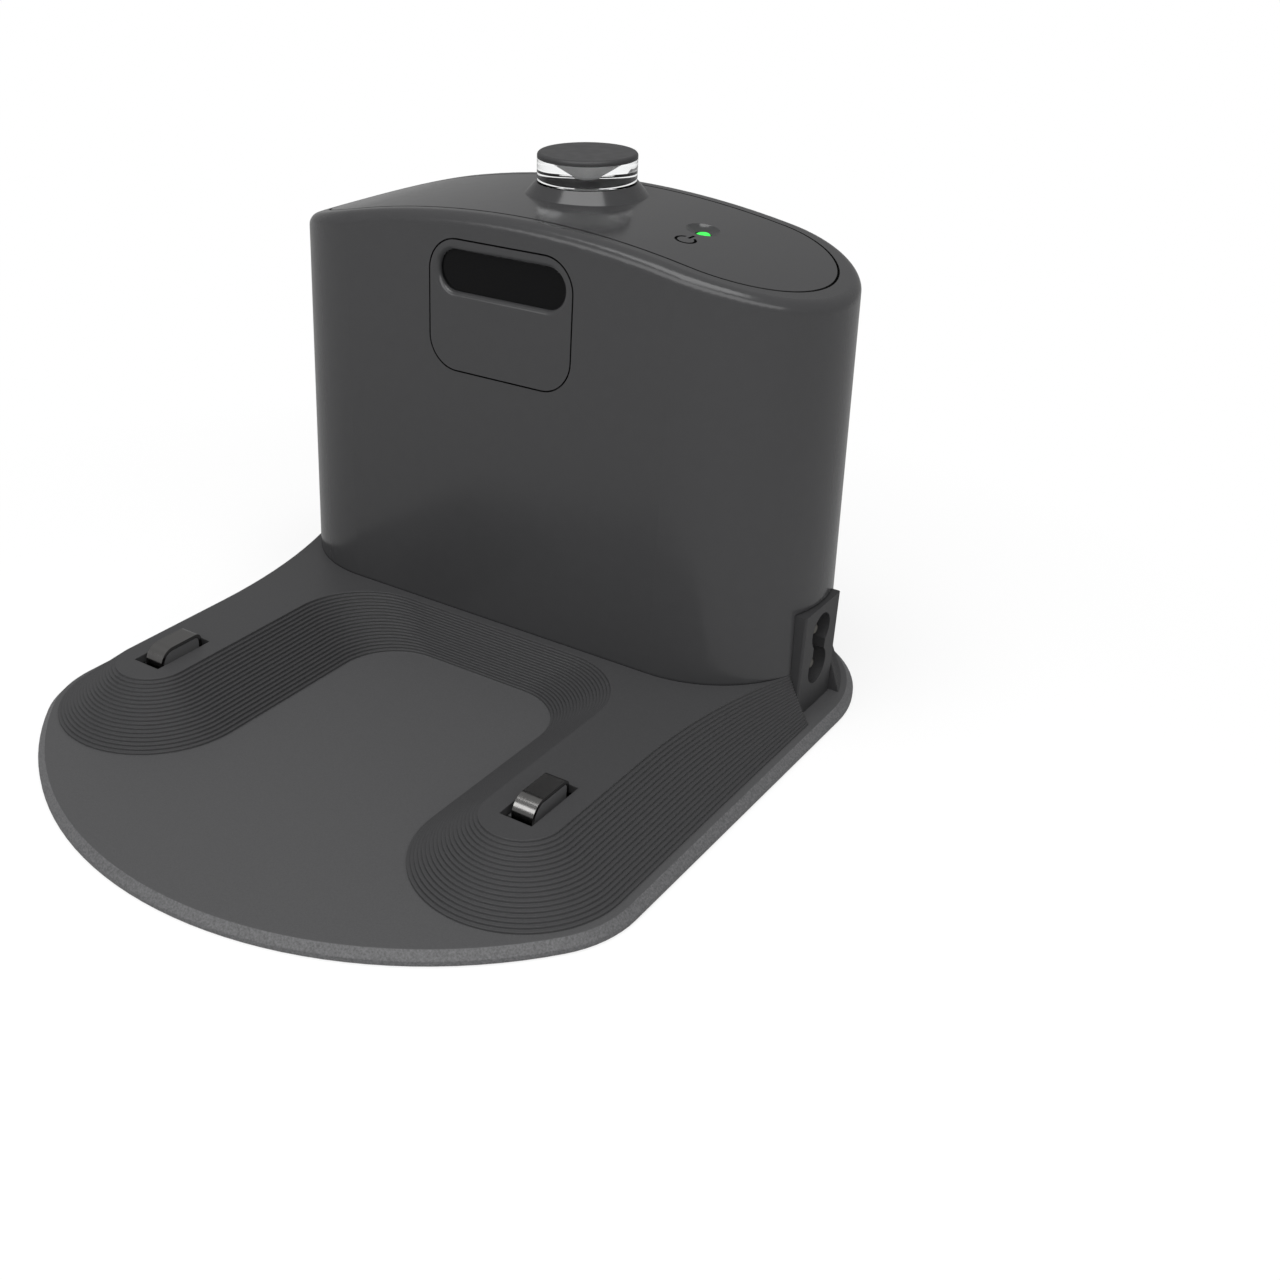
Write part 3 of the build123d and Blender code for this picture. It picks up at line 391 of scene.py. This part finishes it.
def glowing(name, colour, strength):
    """Lit light pipe: a slightly uneven glow over its whole end."""
    material, tree = new_material(name)
    patch_width, dimmest, brightest = 1.2 * MM, 0.85, 1.15
    patches = object_noise(tree, patch_width, detail=1.0)
    tone = add_node(tree, "ShaderNodeMapRange", between(patches, dimmest, brightest))
    glow = add_node(
        tree, "ShaderNodeVectorMath", {0: colour[:3], "Scale": (tone, "Result")}, operation="SCALE"
    )
    shader = add_node(
        tree,
        "ShaderNodeBsdfPrincipled",
        {
            "Base Color": colour,
            "Roughness": 0.25,
            "IOR": 1.49,
            "Emission Color": (glow, "Vector"),
            "Emission Strength": strength,
        },
    )
    add_node(tree, "ShaderNodeOutputMaterial", {"Surface": (shader, "BSDF")})
    return material


def dress(material, *names):
    """Gives a material to every slot of the named nodes."""
    for name in names:
        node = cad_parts[name]
        if not node.data.materials:
            node.data.materials.append(material)
        for i in range(len(node.data.materials)):
            node.data.materials[i] = material


class DOCK_OT_shells(bpy.types.Operator):
    """Gives the base, the tower and the front plate their moulded finishes"""

    bl_idname = "dock.shells"
    bl_label = "Finish the shells"

    def execute(self, context):
        colours, sizes = context.scene.dock_colours, context.scene.dock_sizes
        # ABS from a polished mould: an even half gloss, with a slight ripple
        tower = moulded(
            "ABS moulded in a polished mould",
            colours.tower,
            roughness=0.2,
            grain=sizes.peel,
            depth=0.003 * MM,
            speckle=0.01,
            level=0.4,
            # Painted shade darkens its edges along the seams
            seam=sizes.seam,
            detail=0.0,
        )
        # ABS from a mould with a spark-eroded floor: a fine pitted grain, drawn about twice its real
        # size so that it shows, next to a smoother deck
        base = base_plastic("ABS moulded in a spark-eroded mould", colours.base, colours.deck, sizes)
        dress(tower, "tower_shell", "front_plate")
        dress(base, "base_shell", "bottom_cover")
        return {"FINISHED"}


class DOCK_OT_top_cover(bpy.types.Operator):
    """Gives the top cover and the beacon's cap a smooth moulded finish"""

    bl_idname = "dock.top_cover"
    bl_label = "Finish the top cover"

    def execute(self, context):
        colours, sizes = context.scene.dock_colours, context.scene.dock_sizes
        # ABS from a finely polished mould: its soft mirror shows what stands on it
        cover = moulded(
            "ABS moulded in a mirror mould",
            colours.cover,
            roughness=0.16,
            grain=sizes.peel,
            depth=0.003 * MM,
            speckle=0.008,
            level=0.45,
            # Painted shade darkens its edges along the seams
            seam=sizes.seam,
            detail=0.0,
        )
        # ABS from a satin mould: a dull even top that mirrors nothing
        cap = moulded(
            "ABS moulded in a satin mould",
            colours.cover,
            roughness=0.4,
            grain=sizes.peel,
            depth=0.003 * MM,
            speckle=0.008,
            level=0.3,
            detail=0.0,
        )
        dress(cover, "top_cover")
        dress(cap, "beacon_cap")
        return {"FINISHED"}


def apply_place(piece):
    """Moves a finished piece's place, turn and scale into its mesh."""
    bpy.ops.object.select_all(action="DESELECT")
    piece.select_set(True)
    bpy.context.view_layer.objects.active = piece
    bpy.ops.object.transform_apply(location=True, rotation=True, scale=True)


def turned_piece(name, outline, axis_place, steps=96):
    """Spins an outline of radii and heights, in metres, round an upright axis, where it starts and ends."""
    bpy.ops.object.select_all(action="DESELECT")
    bpy.ops.mesh.primitive_plane_add(size=2 * MM, location=(0.0, 0.0, 0.0))
    piece = bpy.context.object
    piece.name = name
    bpy.ops.object.mode_set(mode="EDIT")
    bpy.ops.mesh.select_all(action="SELECT")
    bpy.ops.mesh.merge(type="CENTER")
    bpy.ops.transform.translate(value=(axis_place[0] + outline[0][0], axis_place[1], outline[0][1]))
    for before, after in zip(outline, outline[1:]):
        step = (after[0] - before[0], 0.0, after[1] - before[1])
        bpy.ops.mesh.extrude_region_move(TRANSFORM_OT_translate={"value": step})
    bpy.ops.mesh.select_all(action="SELECT")
    bpy.ops.mesh.spin(
        steps=steps, angle=FULL_TURN, center=(axis_place[0], axis_place[1], 0.0), axis=(0, 0, 1)
    )
    bpy.ops.mesh.select_all(action="SELECT")
    bpy.ops.mesh.remove_doubles(threshold=SAME_POINT)
    bpy.ops.mesh.normals_make_consistent(inside=False)
    bpy.ops.object.mode_set(mode="OBJECT")
    bpy.ops.object.shade_smooth_by_angle(angle=SMOOTH_ANGLE)
    apply_place(piece)
    return piece


class DOCK_OT_beacon(bpy.types.Operator):
    """Finishes the clear lens, and makes the cone and the filter that are glued to it"""

    bl_idname = "dock.beacon"
    bl_label = "Finish the beacon"

    def execute(self, context):
        sizes = context.scene.dock_sizes
        glue = sizes.glue
        # Clear polycarbonate, moulded solid and polished: bright edges, and all that lies behind it shows
        lens = clear_plastic("Polycarbonate moulded clear", linear("#fcfdfd"), roughness=0.01, ior=1.5)
        # Silver paint over smooth plastic: a soft bright cone that spreads the signal
        silver = moulded(
            "Plastic painted silver",
            linear("#f4f4f4"),
            roughness=0.3,
            grain=0.8 * MM,
            depth=0.003 * MM,
            speckle=0.03,
            level=0.2,
        )
        # Dark polycarbonate that only lets infrared through: a dull disc, with no gloss under the lens
        dark = moulded(
            "Polycarbonate moulded dark for infrared",
            linear("#5c5c5d"),
            roughness=0.6,
            grain=0.8 * MM,
            depth=0.002 * MM,
            speckle=0.02,
            level=0.0,
        )
        # Nylon as it comes from the mould: nearly black and half matt
        holder = moulded(
            "Nylon moulded plain",
            linear("#1b1b1b"),
            roughness=0.5,
            grain=0.6 * MM,
            depth=0.01 * MM,
            speckle=0.03,
        )
        # Epoxy cast round the diodes: clear with a faint blue, and a smooth gloss
        diode = clear_plastic("Epoxy cast clear", linear("#dfe6ea"), roughness=0.05, ior=1.54)
        dress(lens, "beacon_lens")
        dress(silver, "beacon_cone")
        dress(dark, "beacon_filter")
        dress(holder, "beacon_led_holder", "emitter_shroud")
        dress(diode, "beacon_led", "ir_emitter_left", "ir_emitter_right")

        # Both pieces reach a hair into the lens, as if glued without air, so that they show through it
        low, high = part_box("beacon_cone")
        axis_place = ((low[0] + high[0]) / 2, (low[1] + high[1]) / 2)
        top_r, top_z, tip_z = (high[0] - low[0]) / 2, high[2], low[2]
        gap = sizes.beacon_gap + glue
        tip_r = sizes.cone_tip_radius + gap
        # The rounded tip from its middle out: shares of its radius, and heights over the solid's own tip
        tip_points = ((0.0, -gap), (0.45, -0.9 * gap), (0.8, 0.05 * MM), (1.0, sizes.cone_tip_height))
        cone_outline = [(share * tip_r, tip_z + rise) for share, rise in tip_points]
        cone_outline += [(top_r + gap, top_z - glue), (0.0, top_z - glue)]
        cone = turned_piece("beacon_cone_painted", cone_outline, axis_place)
        cone.data.materials.append(silver)
        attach(cone, "dock")
        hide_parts("beacon_cone")

        low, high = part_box("beacon_filter")
        disc_r, edge = (high[0] - low[0]) / 2, sizes.filter_edge
        disc_outline = [
            (0.0, low[2]),
            (disc_r - edge, low[2]),
            (disc_r, low[2] + edge),
            (disc_r, high[2] + glue),
            (0.0, high[2] + glue),
        ]
        disc = turned_piece("beacon_filter_glued", disc_outline, axis_place)
        disc.data.materials.append(dark)
        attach(disc, "dock")
        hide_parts("beacon_filter")
        return {"FINISHED"}


class DOCK_OT_window_and_light(bpy.types.Operator):
    """Finishes the infrared window and the charging light"""

    bl_idname = "dock.window_and_light"
    bl_label = "Finish the window and the light"

    def execute(self, context):
        colours = context.scene.dock_colours
        # Dark polycarbonate that only infrared passes, polished flat: black, with a faint sharp gloss
        window = moulded(
            "Polycarbonate moulded infrared black",
            colours.window,
            roughness=0.12,
            grain=3 * MM,
            depth=0.001 * MM,
            speckle=0.01,
            level=0.15,
        )
        # Acrylic pipe, lit green from the diode below it: it shines by itself, a little unevenly
        pipe = glowing("Acrylic light pipe lit green", colours.light, strength=0.9)
        dress(window, "ir_window")
        dress(pipe, "light_pipe", "charging_led")
        return {"FINISHED"}


def coil_spring(name, axis_place, sizes, turns=4, sides=12, steps=32):
    """Models a coil spring that stands on its foot, from a wire's section and the screw modifier."""
    pitch = (sizes.spring_free - 2 * sizes.spring_wire) / turns
    bpy.ops.object.select_all(action="DESELECT")
    bpy.ops.mesh.primitive_circle_add(vertices=sides, radius=sizes.spring_wire, location=(0.0, 0.0, 0.0))
    piece = bpy.context.object
    piece.name = name
    bpy.ops.object.mode_set(mode="EDIT")
    bpy.ops.mesh.select_all(action="SELECT")
    bpy.ops.transform.rotate(value=FULL_TURN / 4, orient_axis="X", center_override=(0.0, 0.0, 0.0))
    bpy.ops.transform.translate(value=(sizes.spring_radius, 0.0, sizes.spring_foot + sizes.spring_wire))
    bpy.ops.object.mode_set(mode="OBJECT")
    bpy.ops.object.modifier_add(type="SCREW")
    screw = piece.modifiers[-1]
    screw.angle = FULL_TURN
    screw.iterations = turns
    screw.screw_offset = pitch
    screw.steps = screw.render_steps = steps
    bpy.ops.object.modifier_apply(modifier=screw.name)
    bpy.ops.object.mode_set(mode="EDIT")
    bpy.ops.mesh.select_all(action="SELECT")
    bpy.ops.mesh.remove_doubles(threshold=SAME_POINT)
    bpy.ops.mesh.fill_holes(sides=0)
    bpy.ops.mesh.normals_make_consistent(inside=False)
    bpy.ops.mesh.select_all(action="SELECT")
    bpy.ops.transform.translate(value=(axis_place[0], axis_place[1], 0.0))
    bpy.ops.object.mode_set(mode="OBJECT")
    bpy.ops.object.shade_smooth_by_angle(angle=SMOOTH_ANGLE)
    apply_place(piece)
    return piece


class DOCK_OT_contacts(bpy.types.Operator):
    """Finishes the charging contacts, and makes the springs below them"""

    bl_idname = "dock.contacts"
    bl_label = "Finish the contacts"

    def execute(self, context):
        sizes = context.scene.dock_sizes
        # Strip steel, bent and then nickel plated: nearly a mirror, with faint draw lines along it
        nickel = metal(
            "Nickel plated over drawn steel",
            linear("#8c8b8a"),
            roughness=0.18,
            grain=0.25 * MM,
            stretch=(1.0, 0.08, 0.08),
            depth=0.002 * MM,
        )
        # Drawn wire under thin zinc: a grey, soft metal gloss along each turn
        spring = metal(
            "Music wire drawn and zinc plated", linear("#a9a9ab"), roughness=0.25, grain=0.2 * MM
        )
        # Nylon with a fine matt grain, its grey raised a step as painted light, for the light that falls on
        # its side in the slot
        carrier = moulded(
            "Nylon moulded dark grey",
            linear("#5c5c5d"),
            roughness=0.45,
            grain=0.5 * MM,
            depth=0.01 * MM,
            speckle=0.03,
        )
        dress(nickel, "contact_left", "contact_right", "spring_terminal_left", "spring_terminal_right")
        dress(carrier, "contact_carrier_left", "contact_carrier_right")

        # The springs are modelled here, in place of the ones from model.glb, which are hidden
        for side, across in (("left", -CONTACT_X), ("right", CONTACT_X)):
            piece = coil_spring("contact_spring_" + side + "_coiled", (across, CONTACT_Y), sizes)
            piece.data.materials.append(spring)
            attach(piece, "dock")
            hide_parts("contact_spring_" + side)
            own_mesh(piece)
        return {"FINISHED"}


class DOCK_OT_inlet(bpy.types.Operator):
    """Finishes the mains inlet block and its pins"""

    bl_idname = "dock.inlet"
    bl_label = "Finish the mains inlet"

    def execute(self, context):
        colours = context.scene.dock_colours
        # PBT from a finely blasted mould: darker and duller than the shells beside it
        block = moulded(
            "PBT moulded with a fine grain",
            colours.inlet,
            roughness=0.5,
            grain=0.5 * MM,
            depth=0.012 * MM,
            speckle=0.04,
            level=0.3,
        )
        # Turned brass under a thin dull nickel, so the pins hardly stand out in the dark socket
        pin = metal(
            "Brass turned and dull nickel plated", linear("#77756f"), roughness=0.4, grain=0.3 * MM
        )
        dress(block, "inlet_housing")
        dress(pin, "inlet_pin_upper", "inlet_pin_lower")
        return {"FINISHED"}


class DOCK_OT_feet_and_screws(bpy.types.Operator):
    """Finishes the rubber feet and the screws"""

    bl_idname = "dock.feet_and_screws"
    bl_label = "Finish the feet and screws"

    def execute(self, context):
        # Rubber from a blasted mould: black and quite dull, so that the feet look soft
        rubber = moulded(
            "Rubber moulded with a matt face",
            linear("#1c1c1c"),
            roughness=0.8,
            grain=0.4 * MM,
            depth=0.02 * MM,
            speckle=0.05,
        )
        # Turned steel under black zinc: dark metal with a broad, soft gloss
        steel = metal(
            "Steel turned and black zinc plated", linear("#5a5a5c"), roughness=0.35, grain=0.25 * MM
        )
        dress(rubber, "foot_front_left", "foot_front_right", "foot_rear_left", "foot_rear_right")
        dress(steel, "cover_screws", "tower_screws", "board_screws", "top_board_screws")
        return {"FINISHED"}


class DOCK_OT_electronics(bpy.types.Operator):
    """Finishes the boards and the components inside"""

    bl_idname = "dock.electronics"
    bl_label = "Finish the boards inside"

    def execute(self, context):
        # Woven glass under a green mask: its cloth shows as a faint mottle
        board = moulded(
            "Glass epoxy with a green mask",
            linear("#1c5a30"),
            roughness=0.35,
            grain=0.8 * MM,
            depth=0.004 * MM,
            speckle=0.05,
        )
        # Filled epoxy: black with a fine satin grain
        black = moulded(
            "Epoxy moulded satin black",
            linear("#1e1e20"),
            roughness=0.4,
            grain=0.4 * MM,
            depth=0.008 * MM,
            speckle=0.04,
        )
        # Pressed powder, fired: dark grey, matt and slightly sandy
        core = moulded(
            "Ferrite pressed and fired",
            linear("#3a3a3c"),
            roughness=0.6,
            grain=0.3 * MM,
            depth=0.015 * MM,
            speckle=0.08,
        )
        # Smooth film wound over the windings: a warm yellow with soft waves in its gloss
        tape = moulded(
            "Polyester tape wound smooth",
            linear("#c9a534"),
            roughness=0.3,
            grain=1.5 * MM,
            depth=0.01 * MM,
            speckle=0.04,
        )
        # Unglazed ceramic: off-white, and matt like chalk
        ceramic = moulded(
            "Ceramic tube fired matt",
            linear("#cfc9bb"),
            roughness=0.5,
            grain=0.5 * MM,
            depth=0.006 * MM,
            speckle=0.03,
        )
        # Extruded PVC: smooth dark red with a dull gloss
        wire = moulded(
            "PVC extruded round the wires",
            linear("#7a1714"),
            roughness=0.4,
            grain=0.8 * MM,
            depth=0.004 * MM,
            speckle=0.03,
        )
        # Aluminium pressed through a die: pale metal with faint upright streaks
        sink = metal(
            "Aluminium extruded plain",
            linear("#b9babd"),
            roughness=0.35,
            grain=0.4 * MM,
            stretch=(1.0, 1.0, 0.1),
        )
        dress(board, "main_board", "top_board")
        dress(black, "input_capacitor", "output_capacitor", "power_transistor")
        dress(black, "mains_header", "contact_header", "link_header")
        dress(core, "transformer_core")
        dress(tape, "transformer_coil")
        dress(ceramic, "fuse")
        dress(sink, "heat_sink")
        dress(wire, "contact_lead_left", "contact_lead_right", "inlet_lead_upper", "inlet_lead_lower")
        dress(wire, "board_link")
        return {"FINISHED"}


def soft_lamp(name, place, target, width, height, power):
    """An area lamp that faces a point."""
    data = bpy.data.lights.new(name, "AREA")
    data.shape = "RECTANGLE"
    data.size, data.size_y, data.energy = width, height, power
    lamp = bpy.data.objects.new(name, data)
    bpy.context.scene.collection.objects.link(lamp)
    lamp.location = place
    lamp.rotation_euler = (Vector(target) - Vector(place)).to_track_quat("-Z", "Y").to_euler()
    return lamp


def seen_directly(tree):
    """One for the rays that show the background: from the camera, off gloss and through clear plastic."""
    path = add_node(tree, "ShaderNodeLightPath")
    either = add_node(
        tree,
        "ShaderNodeMath",
        {0: (path, "Is Camera Ray"), 1: (path, "Is Glossy Ray")},
        operation="MAXIMUM",
    )
    return add_node(
        tree,
        "ShaderNodeMath",
        {0: (either, "Value"), 1: (path, "Is Transmission Ray")},
        operation="MAXIMUM",
    )


def backdrop_paper(colour, clear_of_shadow):
    """Matt white paper that takes the dock's shadow, and is plain white further off."""
    material, tree = new_material("Paper backdrop, matt and white")
    coords = add_node(tree, "ShaderNodeTexCoord")
    distance = add_node(tree, "ShaderNodeVectorMath", {0: (coords, "Object")}, operation="LENGTH")
    away = add_node(
        tree,
        "ShaderNodeMapRange",
        {
            "Value": (distance, "Value"),
            "From Min": clear_of_shadow / 2,
            "From Max": clear_of_shadow,
            "To Min": WHITE_AT_DOCK,
        },
    )
    share = add_node(
        tree,
        "ShaderNodeMath",
        {0: (away, "Result"), 1: (seen_directly(tree), "Value")},
        operation="MULTIPLY",
    )
    paper = add_node(tree, "ShaderNodeBsdfDiffuse", {"Color": colour})
    plain = add_node(tree, "ShaderNodeEmission", {"Color": colour, "Strength": 1.0})
    mixed = add_node(
        tree,
        "ShaderNodeMixShader",
        {"Fac": (share, "Value"), 1: (paper, "BSDF"), 2: (plain, "Emission")},
    )
    add_node(tree, "ShaderNodeOutputMaterial", {"Surface": (mixed, "Shader")})
    return material


def studio_card(name, tone):
    """Dark card round the stage, which only the gloss of the dock shows."""
    material, tree = new_material(name)
    card = add_node(tree, "ShaderNodeEmission", {"Color": (tone, tone, tone, 1.0), "Strength": 1.0})
    add_node(tree, "ShaderNodeOutputMaterial", {"Surface": (card, "Emission")})
    piece = bpy.context.object
    piece.name = name.split(",")[0].lower().replace(" ", "_")
    piece.data.materials.append(material)
    piece.visible_camera = False
    piece.visible_diffuse = False
    piece.visible_transmission = False
    piece.visible_shadow = False


class DOCK_OT_stage(bpy.types.Operator):
    """Sets the plain floor, the soft light and the camera"""

    bl_idname = "dock.stage"
    bl_label = "Set the stage"

    def execute(self, context):
        scene = context.scene
        colours, sizes = scene.dock_colours, scene.dock_sizes
        scene.view_settings.view_transform = "Standard"

        camera_data = bpy.data.cameras.new("Camera")
        camera_data.sensor_width = 36.0
        camera_data.lens = sizes.lens
        camera_data.shift_x, camera_data.shift_y = CAMERA_SHIFT_X, CAMERA_SHIFT_Y
        camera_data.clip_start, camera_data.clip_end = 0.01, 50.0
        camera = bpy.data.objects.new("Camera", camera_data)
        scene.collection.objects.link(camera)
        camera.location = CAMERA_PLACE
        camera.rotation_euler = Vector(CAMERA_DIRECTION).to_track_quat("-Z", "Y").to_euler()
        scene.camera = camera

        bpy.ops.object.select_all(action="DESELECT")
        bpy.ops.mesh.primitive_plane_add(size=sizes.floor_width, location=(0.0, 0.0, -FLOOR_DROP))
        floor = context.object
        floor.name = "floor"
        floor.data.materials.append(backdrop_paper(colours.floor, sizes.clear_of_shadow))

        # Dark walls and grey cards, so that the gloss shows a studio and not an endless white
        wall = sizes.wall_distance
        bpy.ops.mesh.primitive_cylinder_add(
            radius=wall, depth=wall, end_fill_type="NOTHING", location=(0.0, 0.0, wall / 2)
        )
        studio_card("Studio wall, painted dark grey", WALL_TONE)
        bpy.ops.mesh.primitive_circle_add(radius=wall, fill_type="NGON", location=(0.0, 0.0, CARD_LIFT))
        studio_card("Floor card, matt mid grey", FLOOR_CARD_TONE)
        bpy.ops.mesh.primitive_circle_add(radius=wall, fill_type="NGON", location=(0.0, 0.0, wall))
        studio_card("Ceiling card, matt dark grey", CEILING_TONE)

        world = bpy.data.worlds.new("Soft studio")
        scene.world = world
        world.use_nodes = True
        tree = world.node_tree
        tree.nodes.clear()
        sky = add_node(tree, "ShaderNodeBackground", {"Color": WHITE, "Strength": SKY_STRENGTH})
        white = add_node(tree, "ShaderNodeBackground", {"Color": WHITE, "Strength": 1.0})
        mixed = add_node(
            tree,
            "ShaderNodeMixShader",
            {"Fac": (seen_directly(tree), "Value"), 1: (sky, "Background"), 2: (white, "Background")},
        )
        add_node(tree, "ShaderNodeOutputWorld", {"Surface": (mixed, "Shader")})

        # The front one lights the tower, and the top one gives the cover and the skirt their gloss
        soft_lamp(
            "front softbox",
            (0.209, -0.493, 0.595),
            target=(0.0, 0.0, 0.04),
            width=2.0,
            height=0.35,
            power=5.0,
        )
        top = soft_lamp(
            "top softbox",
            (0.04, -0.18, 1.1),
            target=(0.04, -0.18, 0.0),
            width=1.0,
            height=0.55,
            power=6.0,
        )
        top.rotation_euler.rotate_axis("Z", TOP_LAMP_TURN)
        return {"FINISHED"}


class DOCK_PT_panel(bpy.types.Panel):
    """Lists the steps that finish the dock"""

    bl_idname = "DOCK_PT_panel"
    bl_label = "Charging dock"
    bl_space_type = "VIEW_3D"
    bl_region_type = "UI"
    bl_category = "Dock"

    def draw(self, context):
        layout = self.layout
        for step in STEPS:
            layout.operator(step.bl_idname)
        for group in (context.scene.dock_colours, context.scene.dock_sizes):
            for key in group.__annotations__:
                layout.prop(group, key)


STEPS = (
    DOCK_OT_stage,
    DOCK_OT_shells,
    DOCK_OT_top_cover,
    DOCK_OT_beacon,
    DOCK_OT_window_and_light,
    DOCK_OT_contacts,
    DOCK_OT_inlet,
    DOCK_OT_feet_and_screws,
    DOCK_OT_electronics,
)
CLASSES = (DockColours, DockSizes, *STEPS, DOCK_PT_panel)


def register():
    for cls in CLASSES:
        bpy.utils.register_class(cls)
    bpy.types.Scene.dock_colours = PointerProperty(type=DockColours)
    bpy.types.Scene.dock_sizes = PointerProperty(type=DockSizes)


def unregister():
    del bpy.types.Scene.dock_sizes
    del bpy.types.Scene.dock_colours
    for cls in reversed(CLASSES):
        bpy.utils.unregister_class(cls)


def main():
    """Runs every step in order."""
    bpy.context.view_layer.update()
    register()
    for step in STEPS:
        group, name = step.bl_idname.split(".")
        getattr(getattr(bpy.ops, group), name)()


if __name__ == "__main__":
    main()
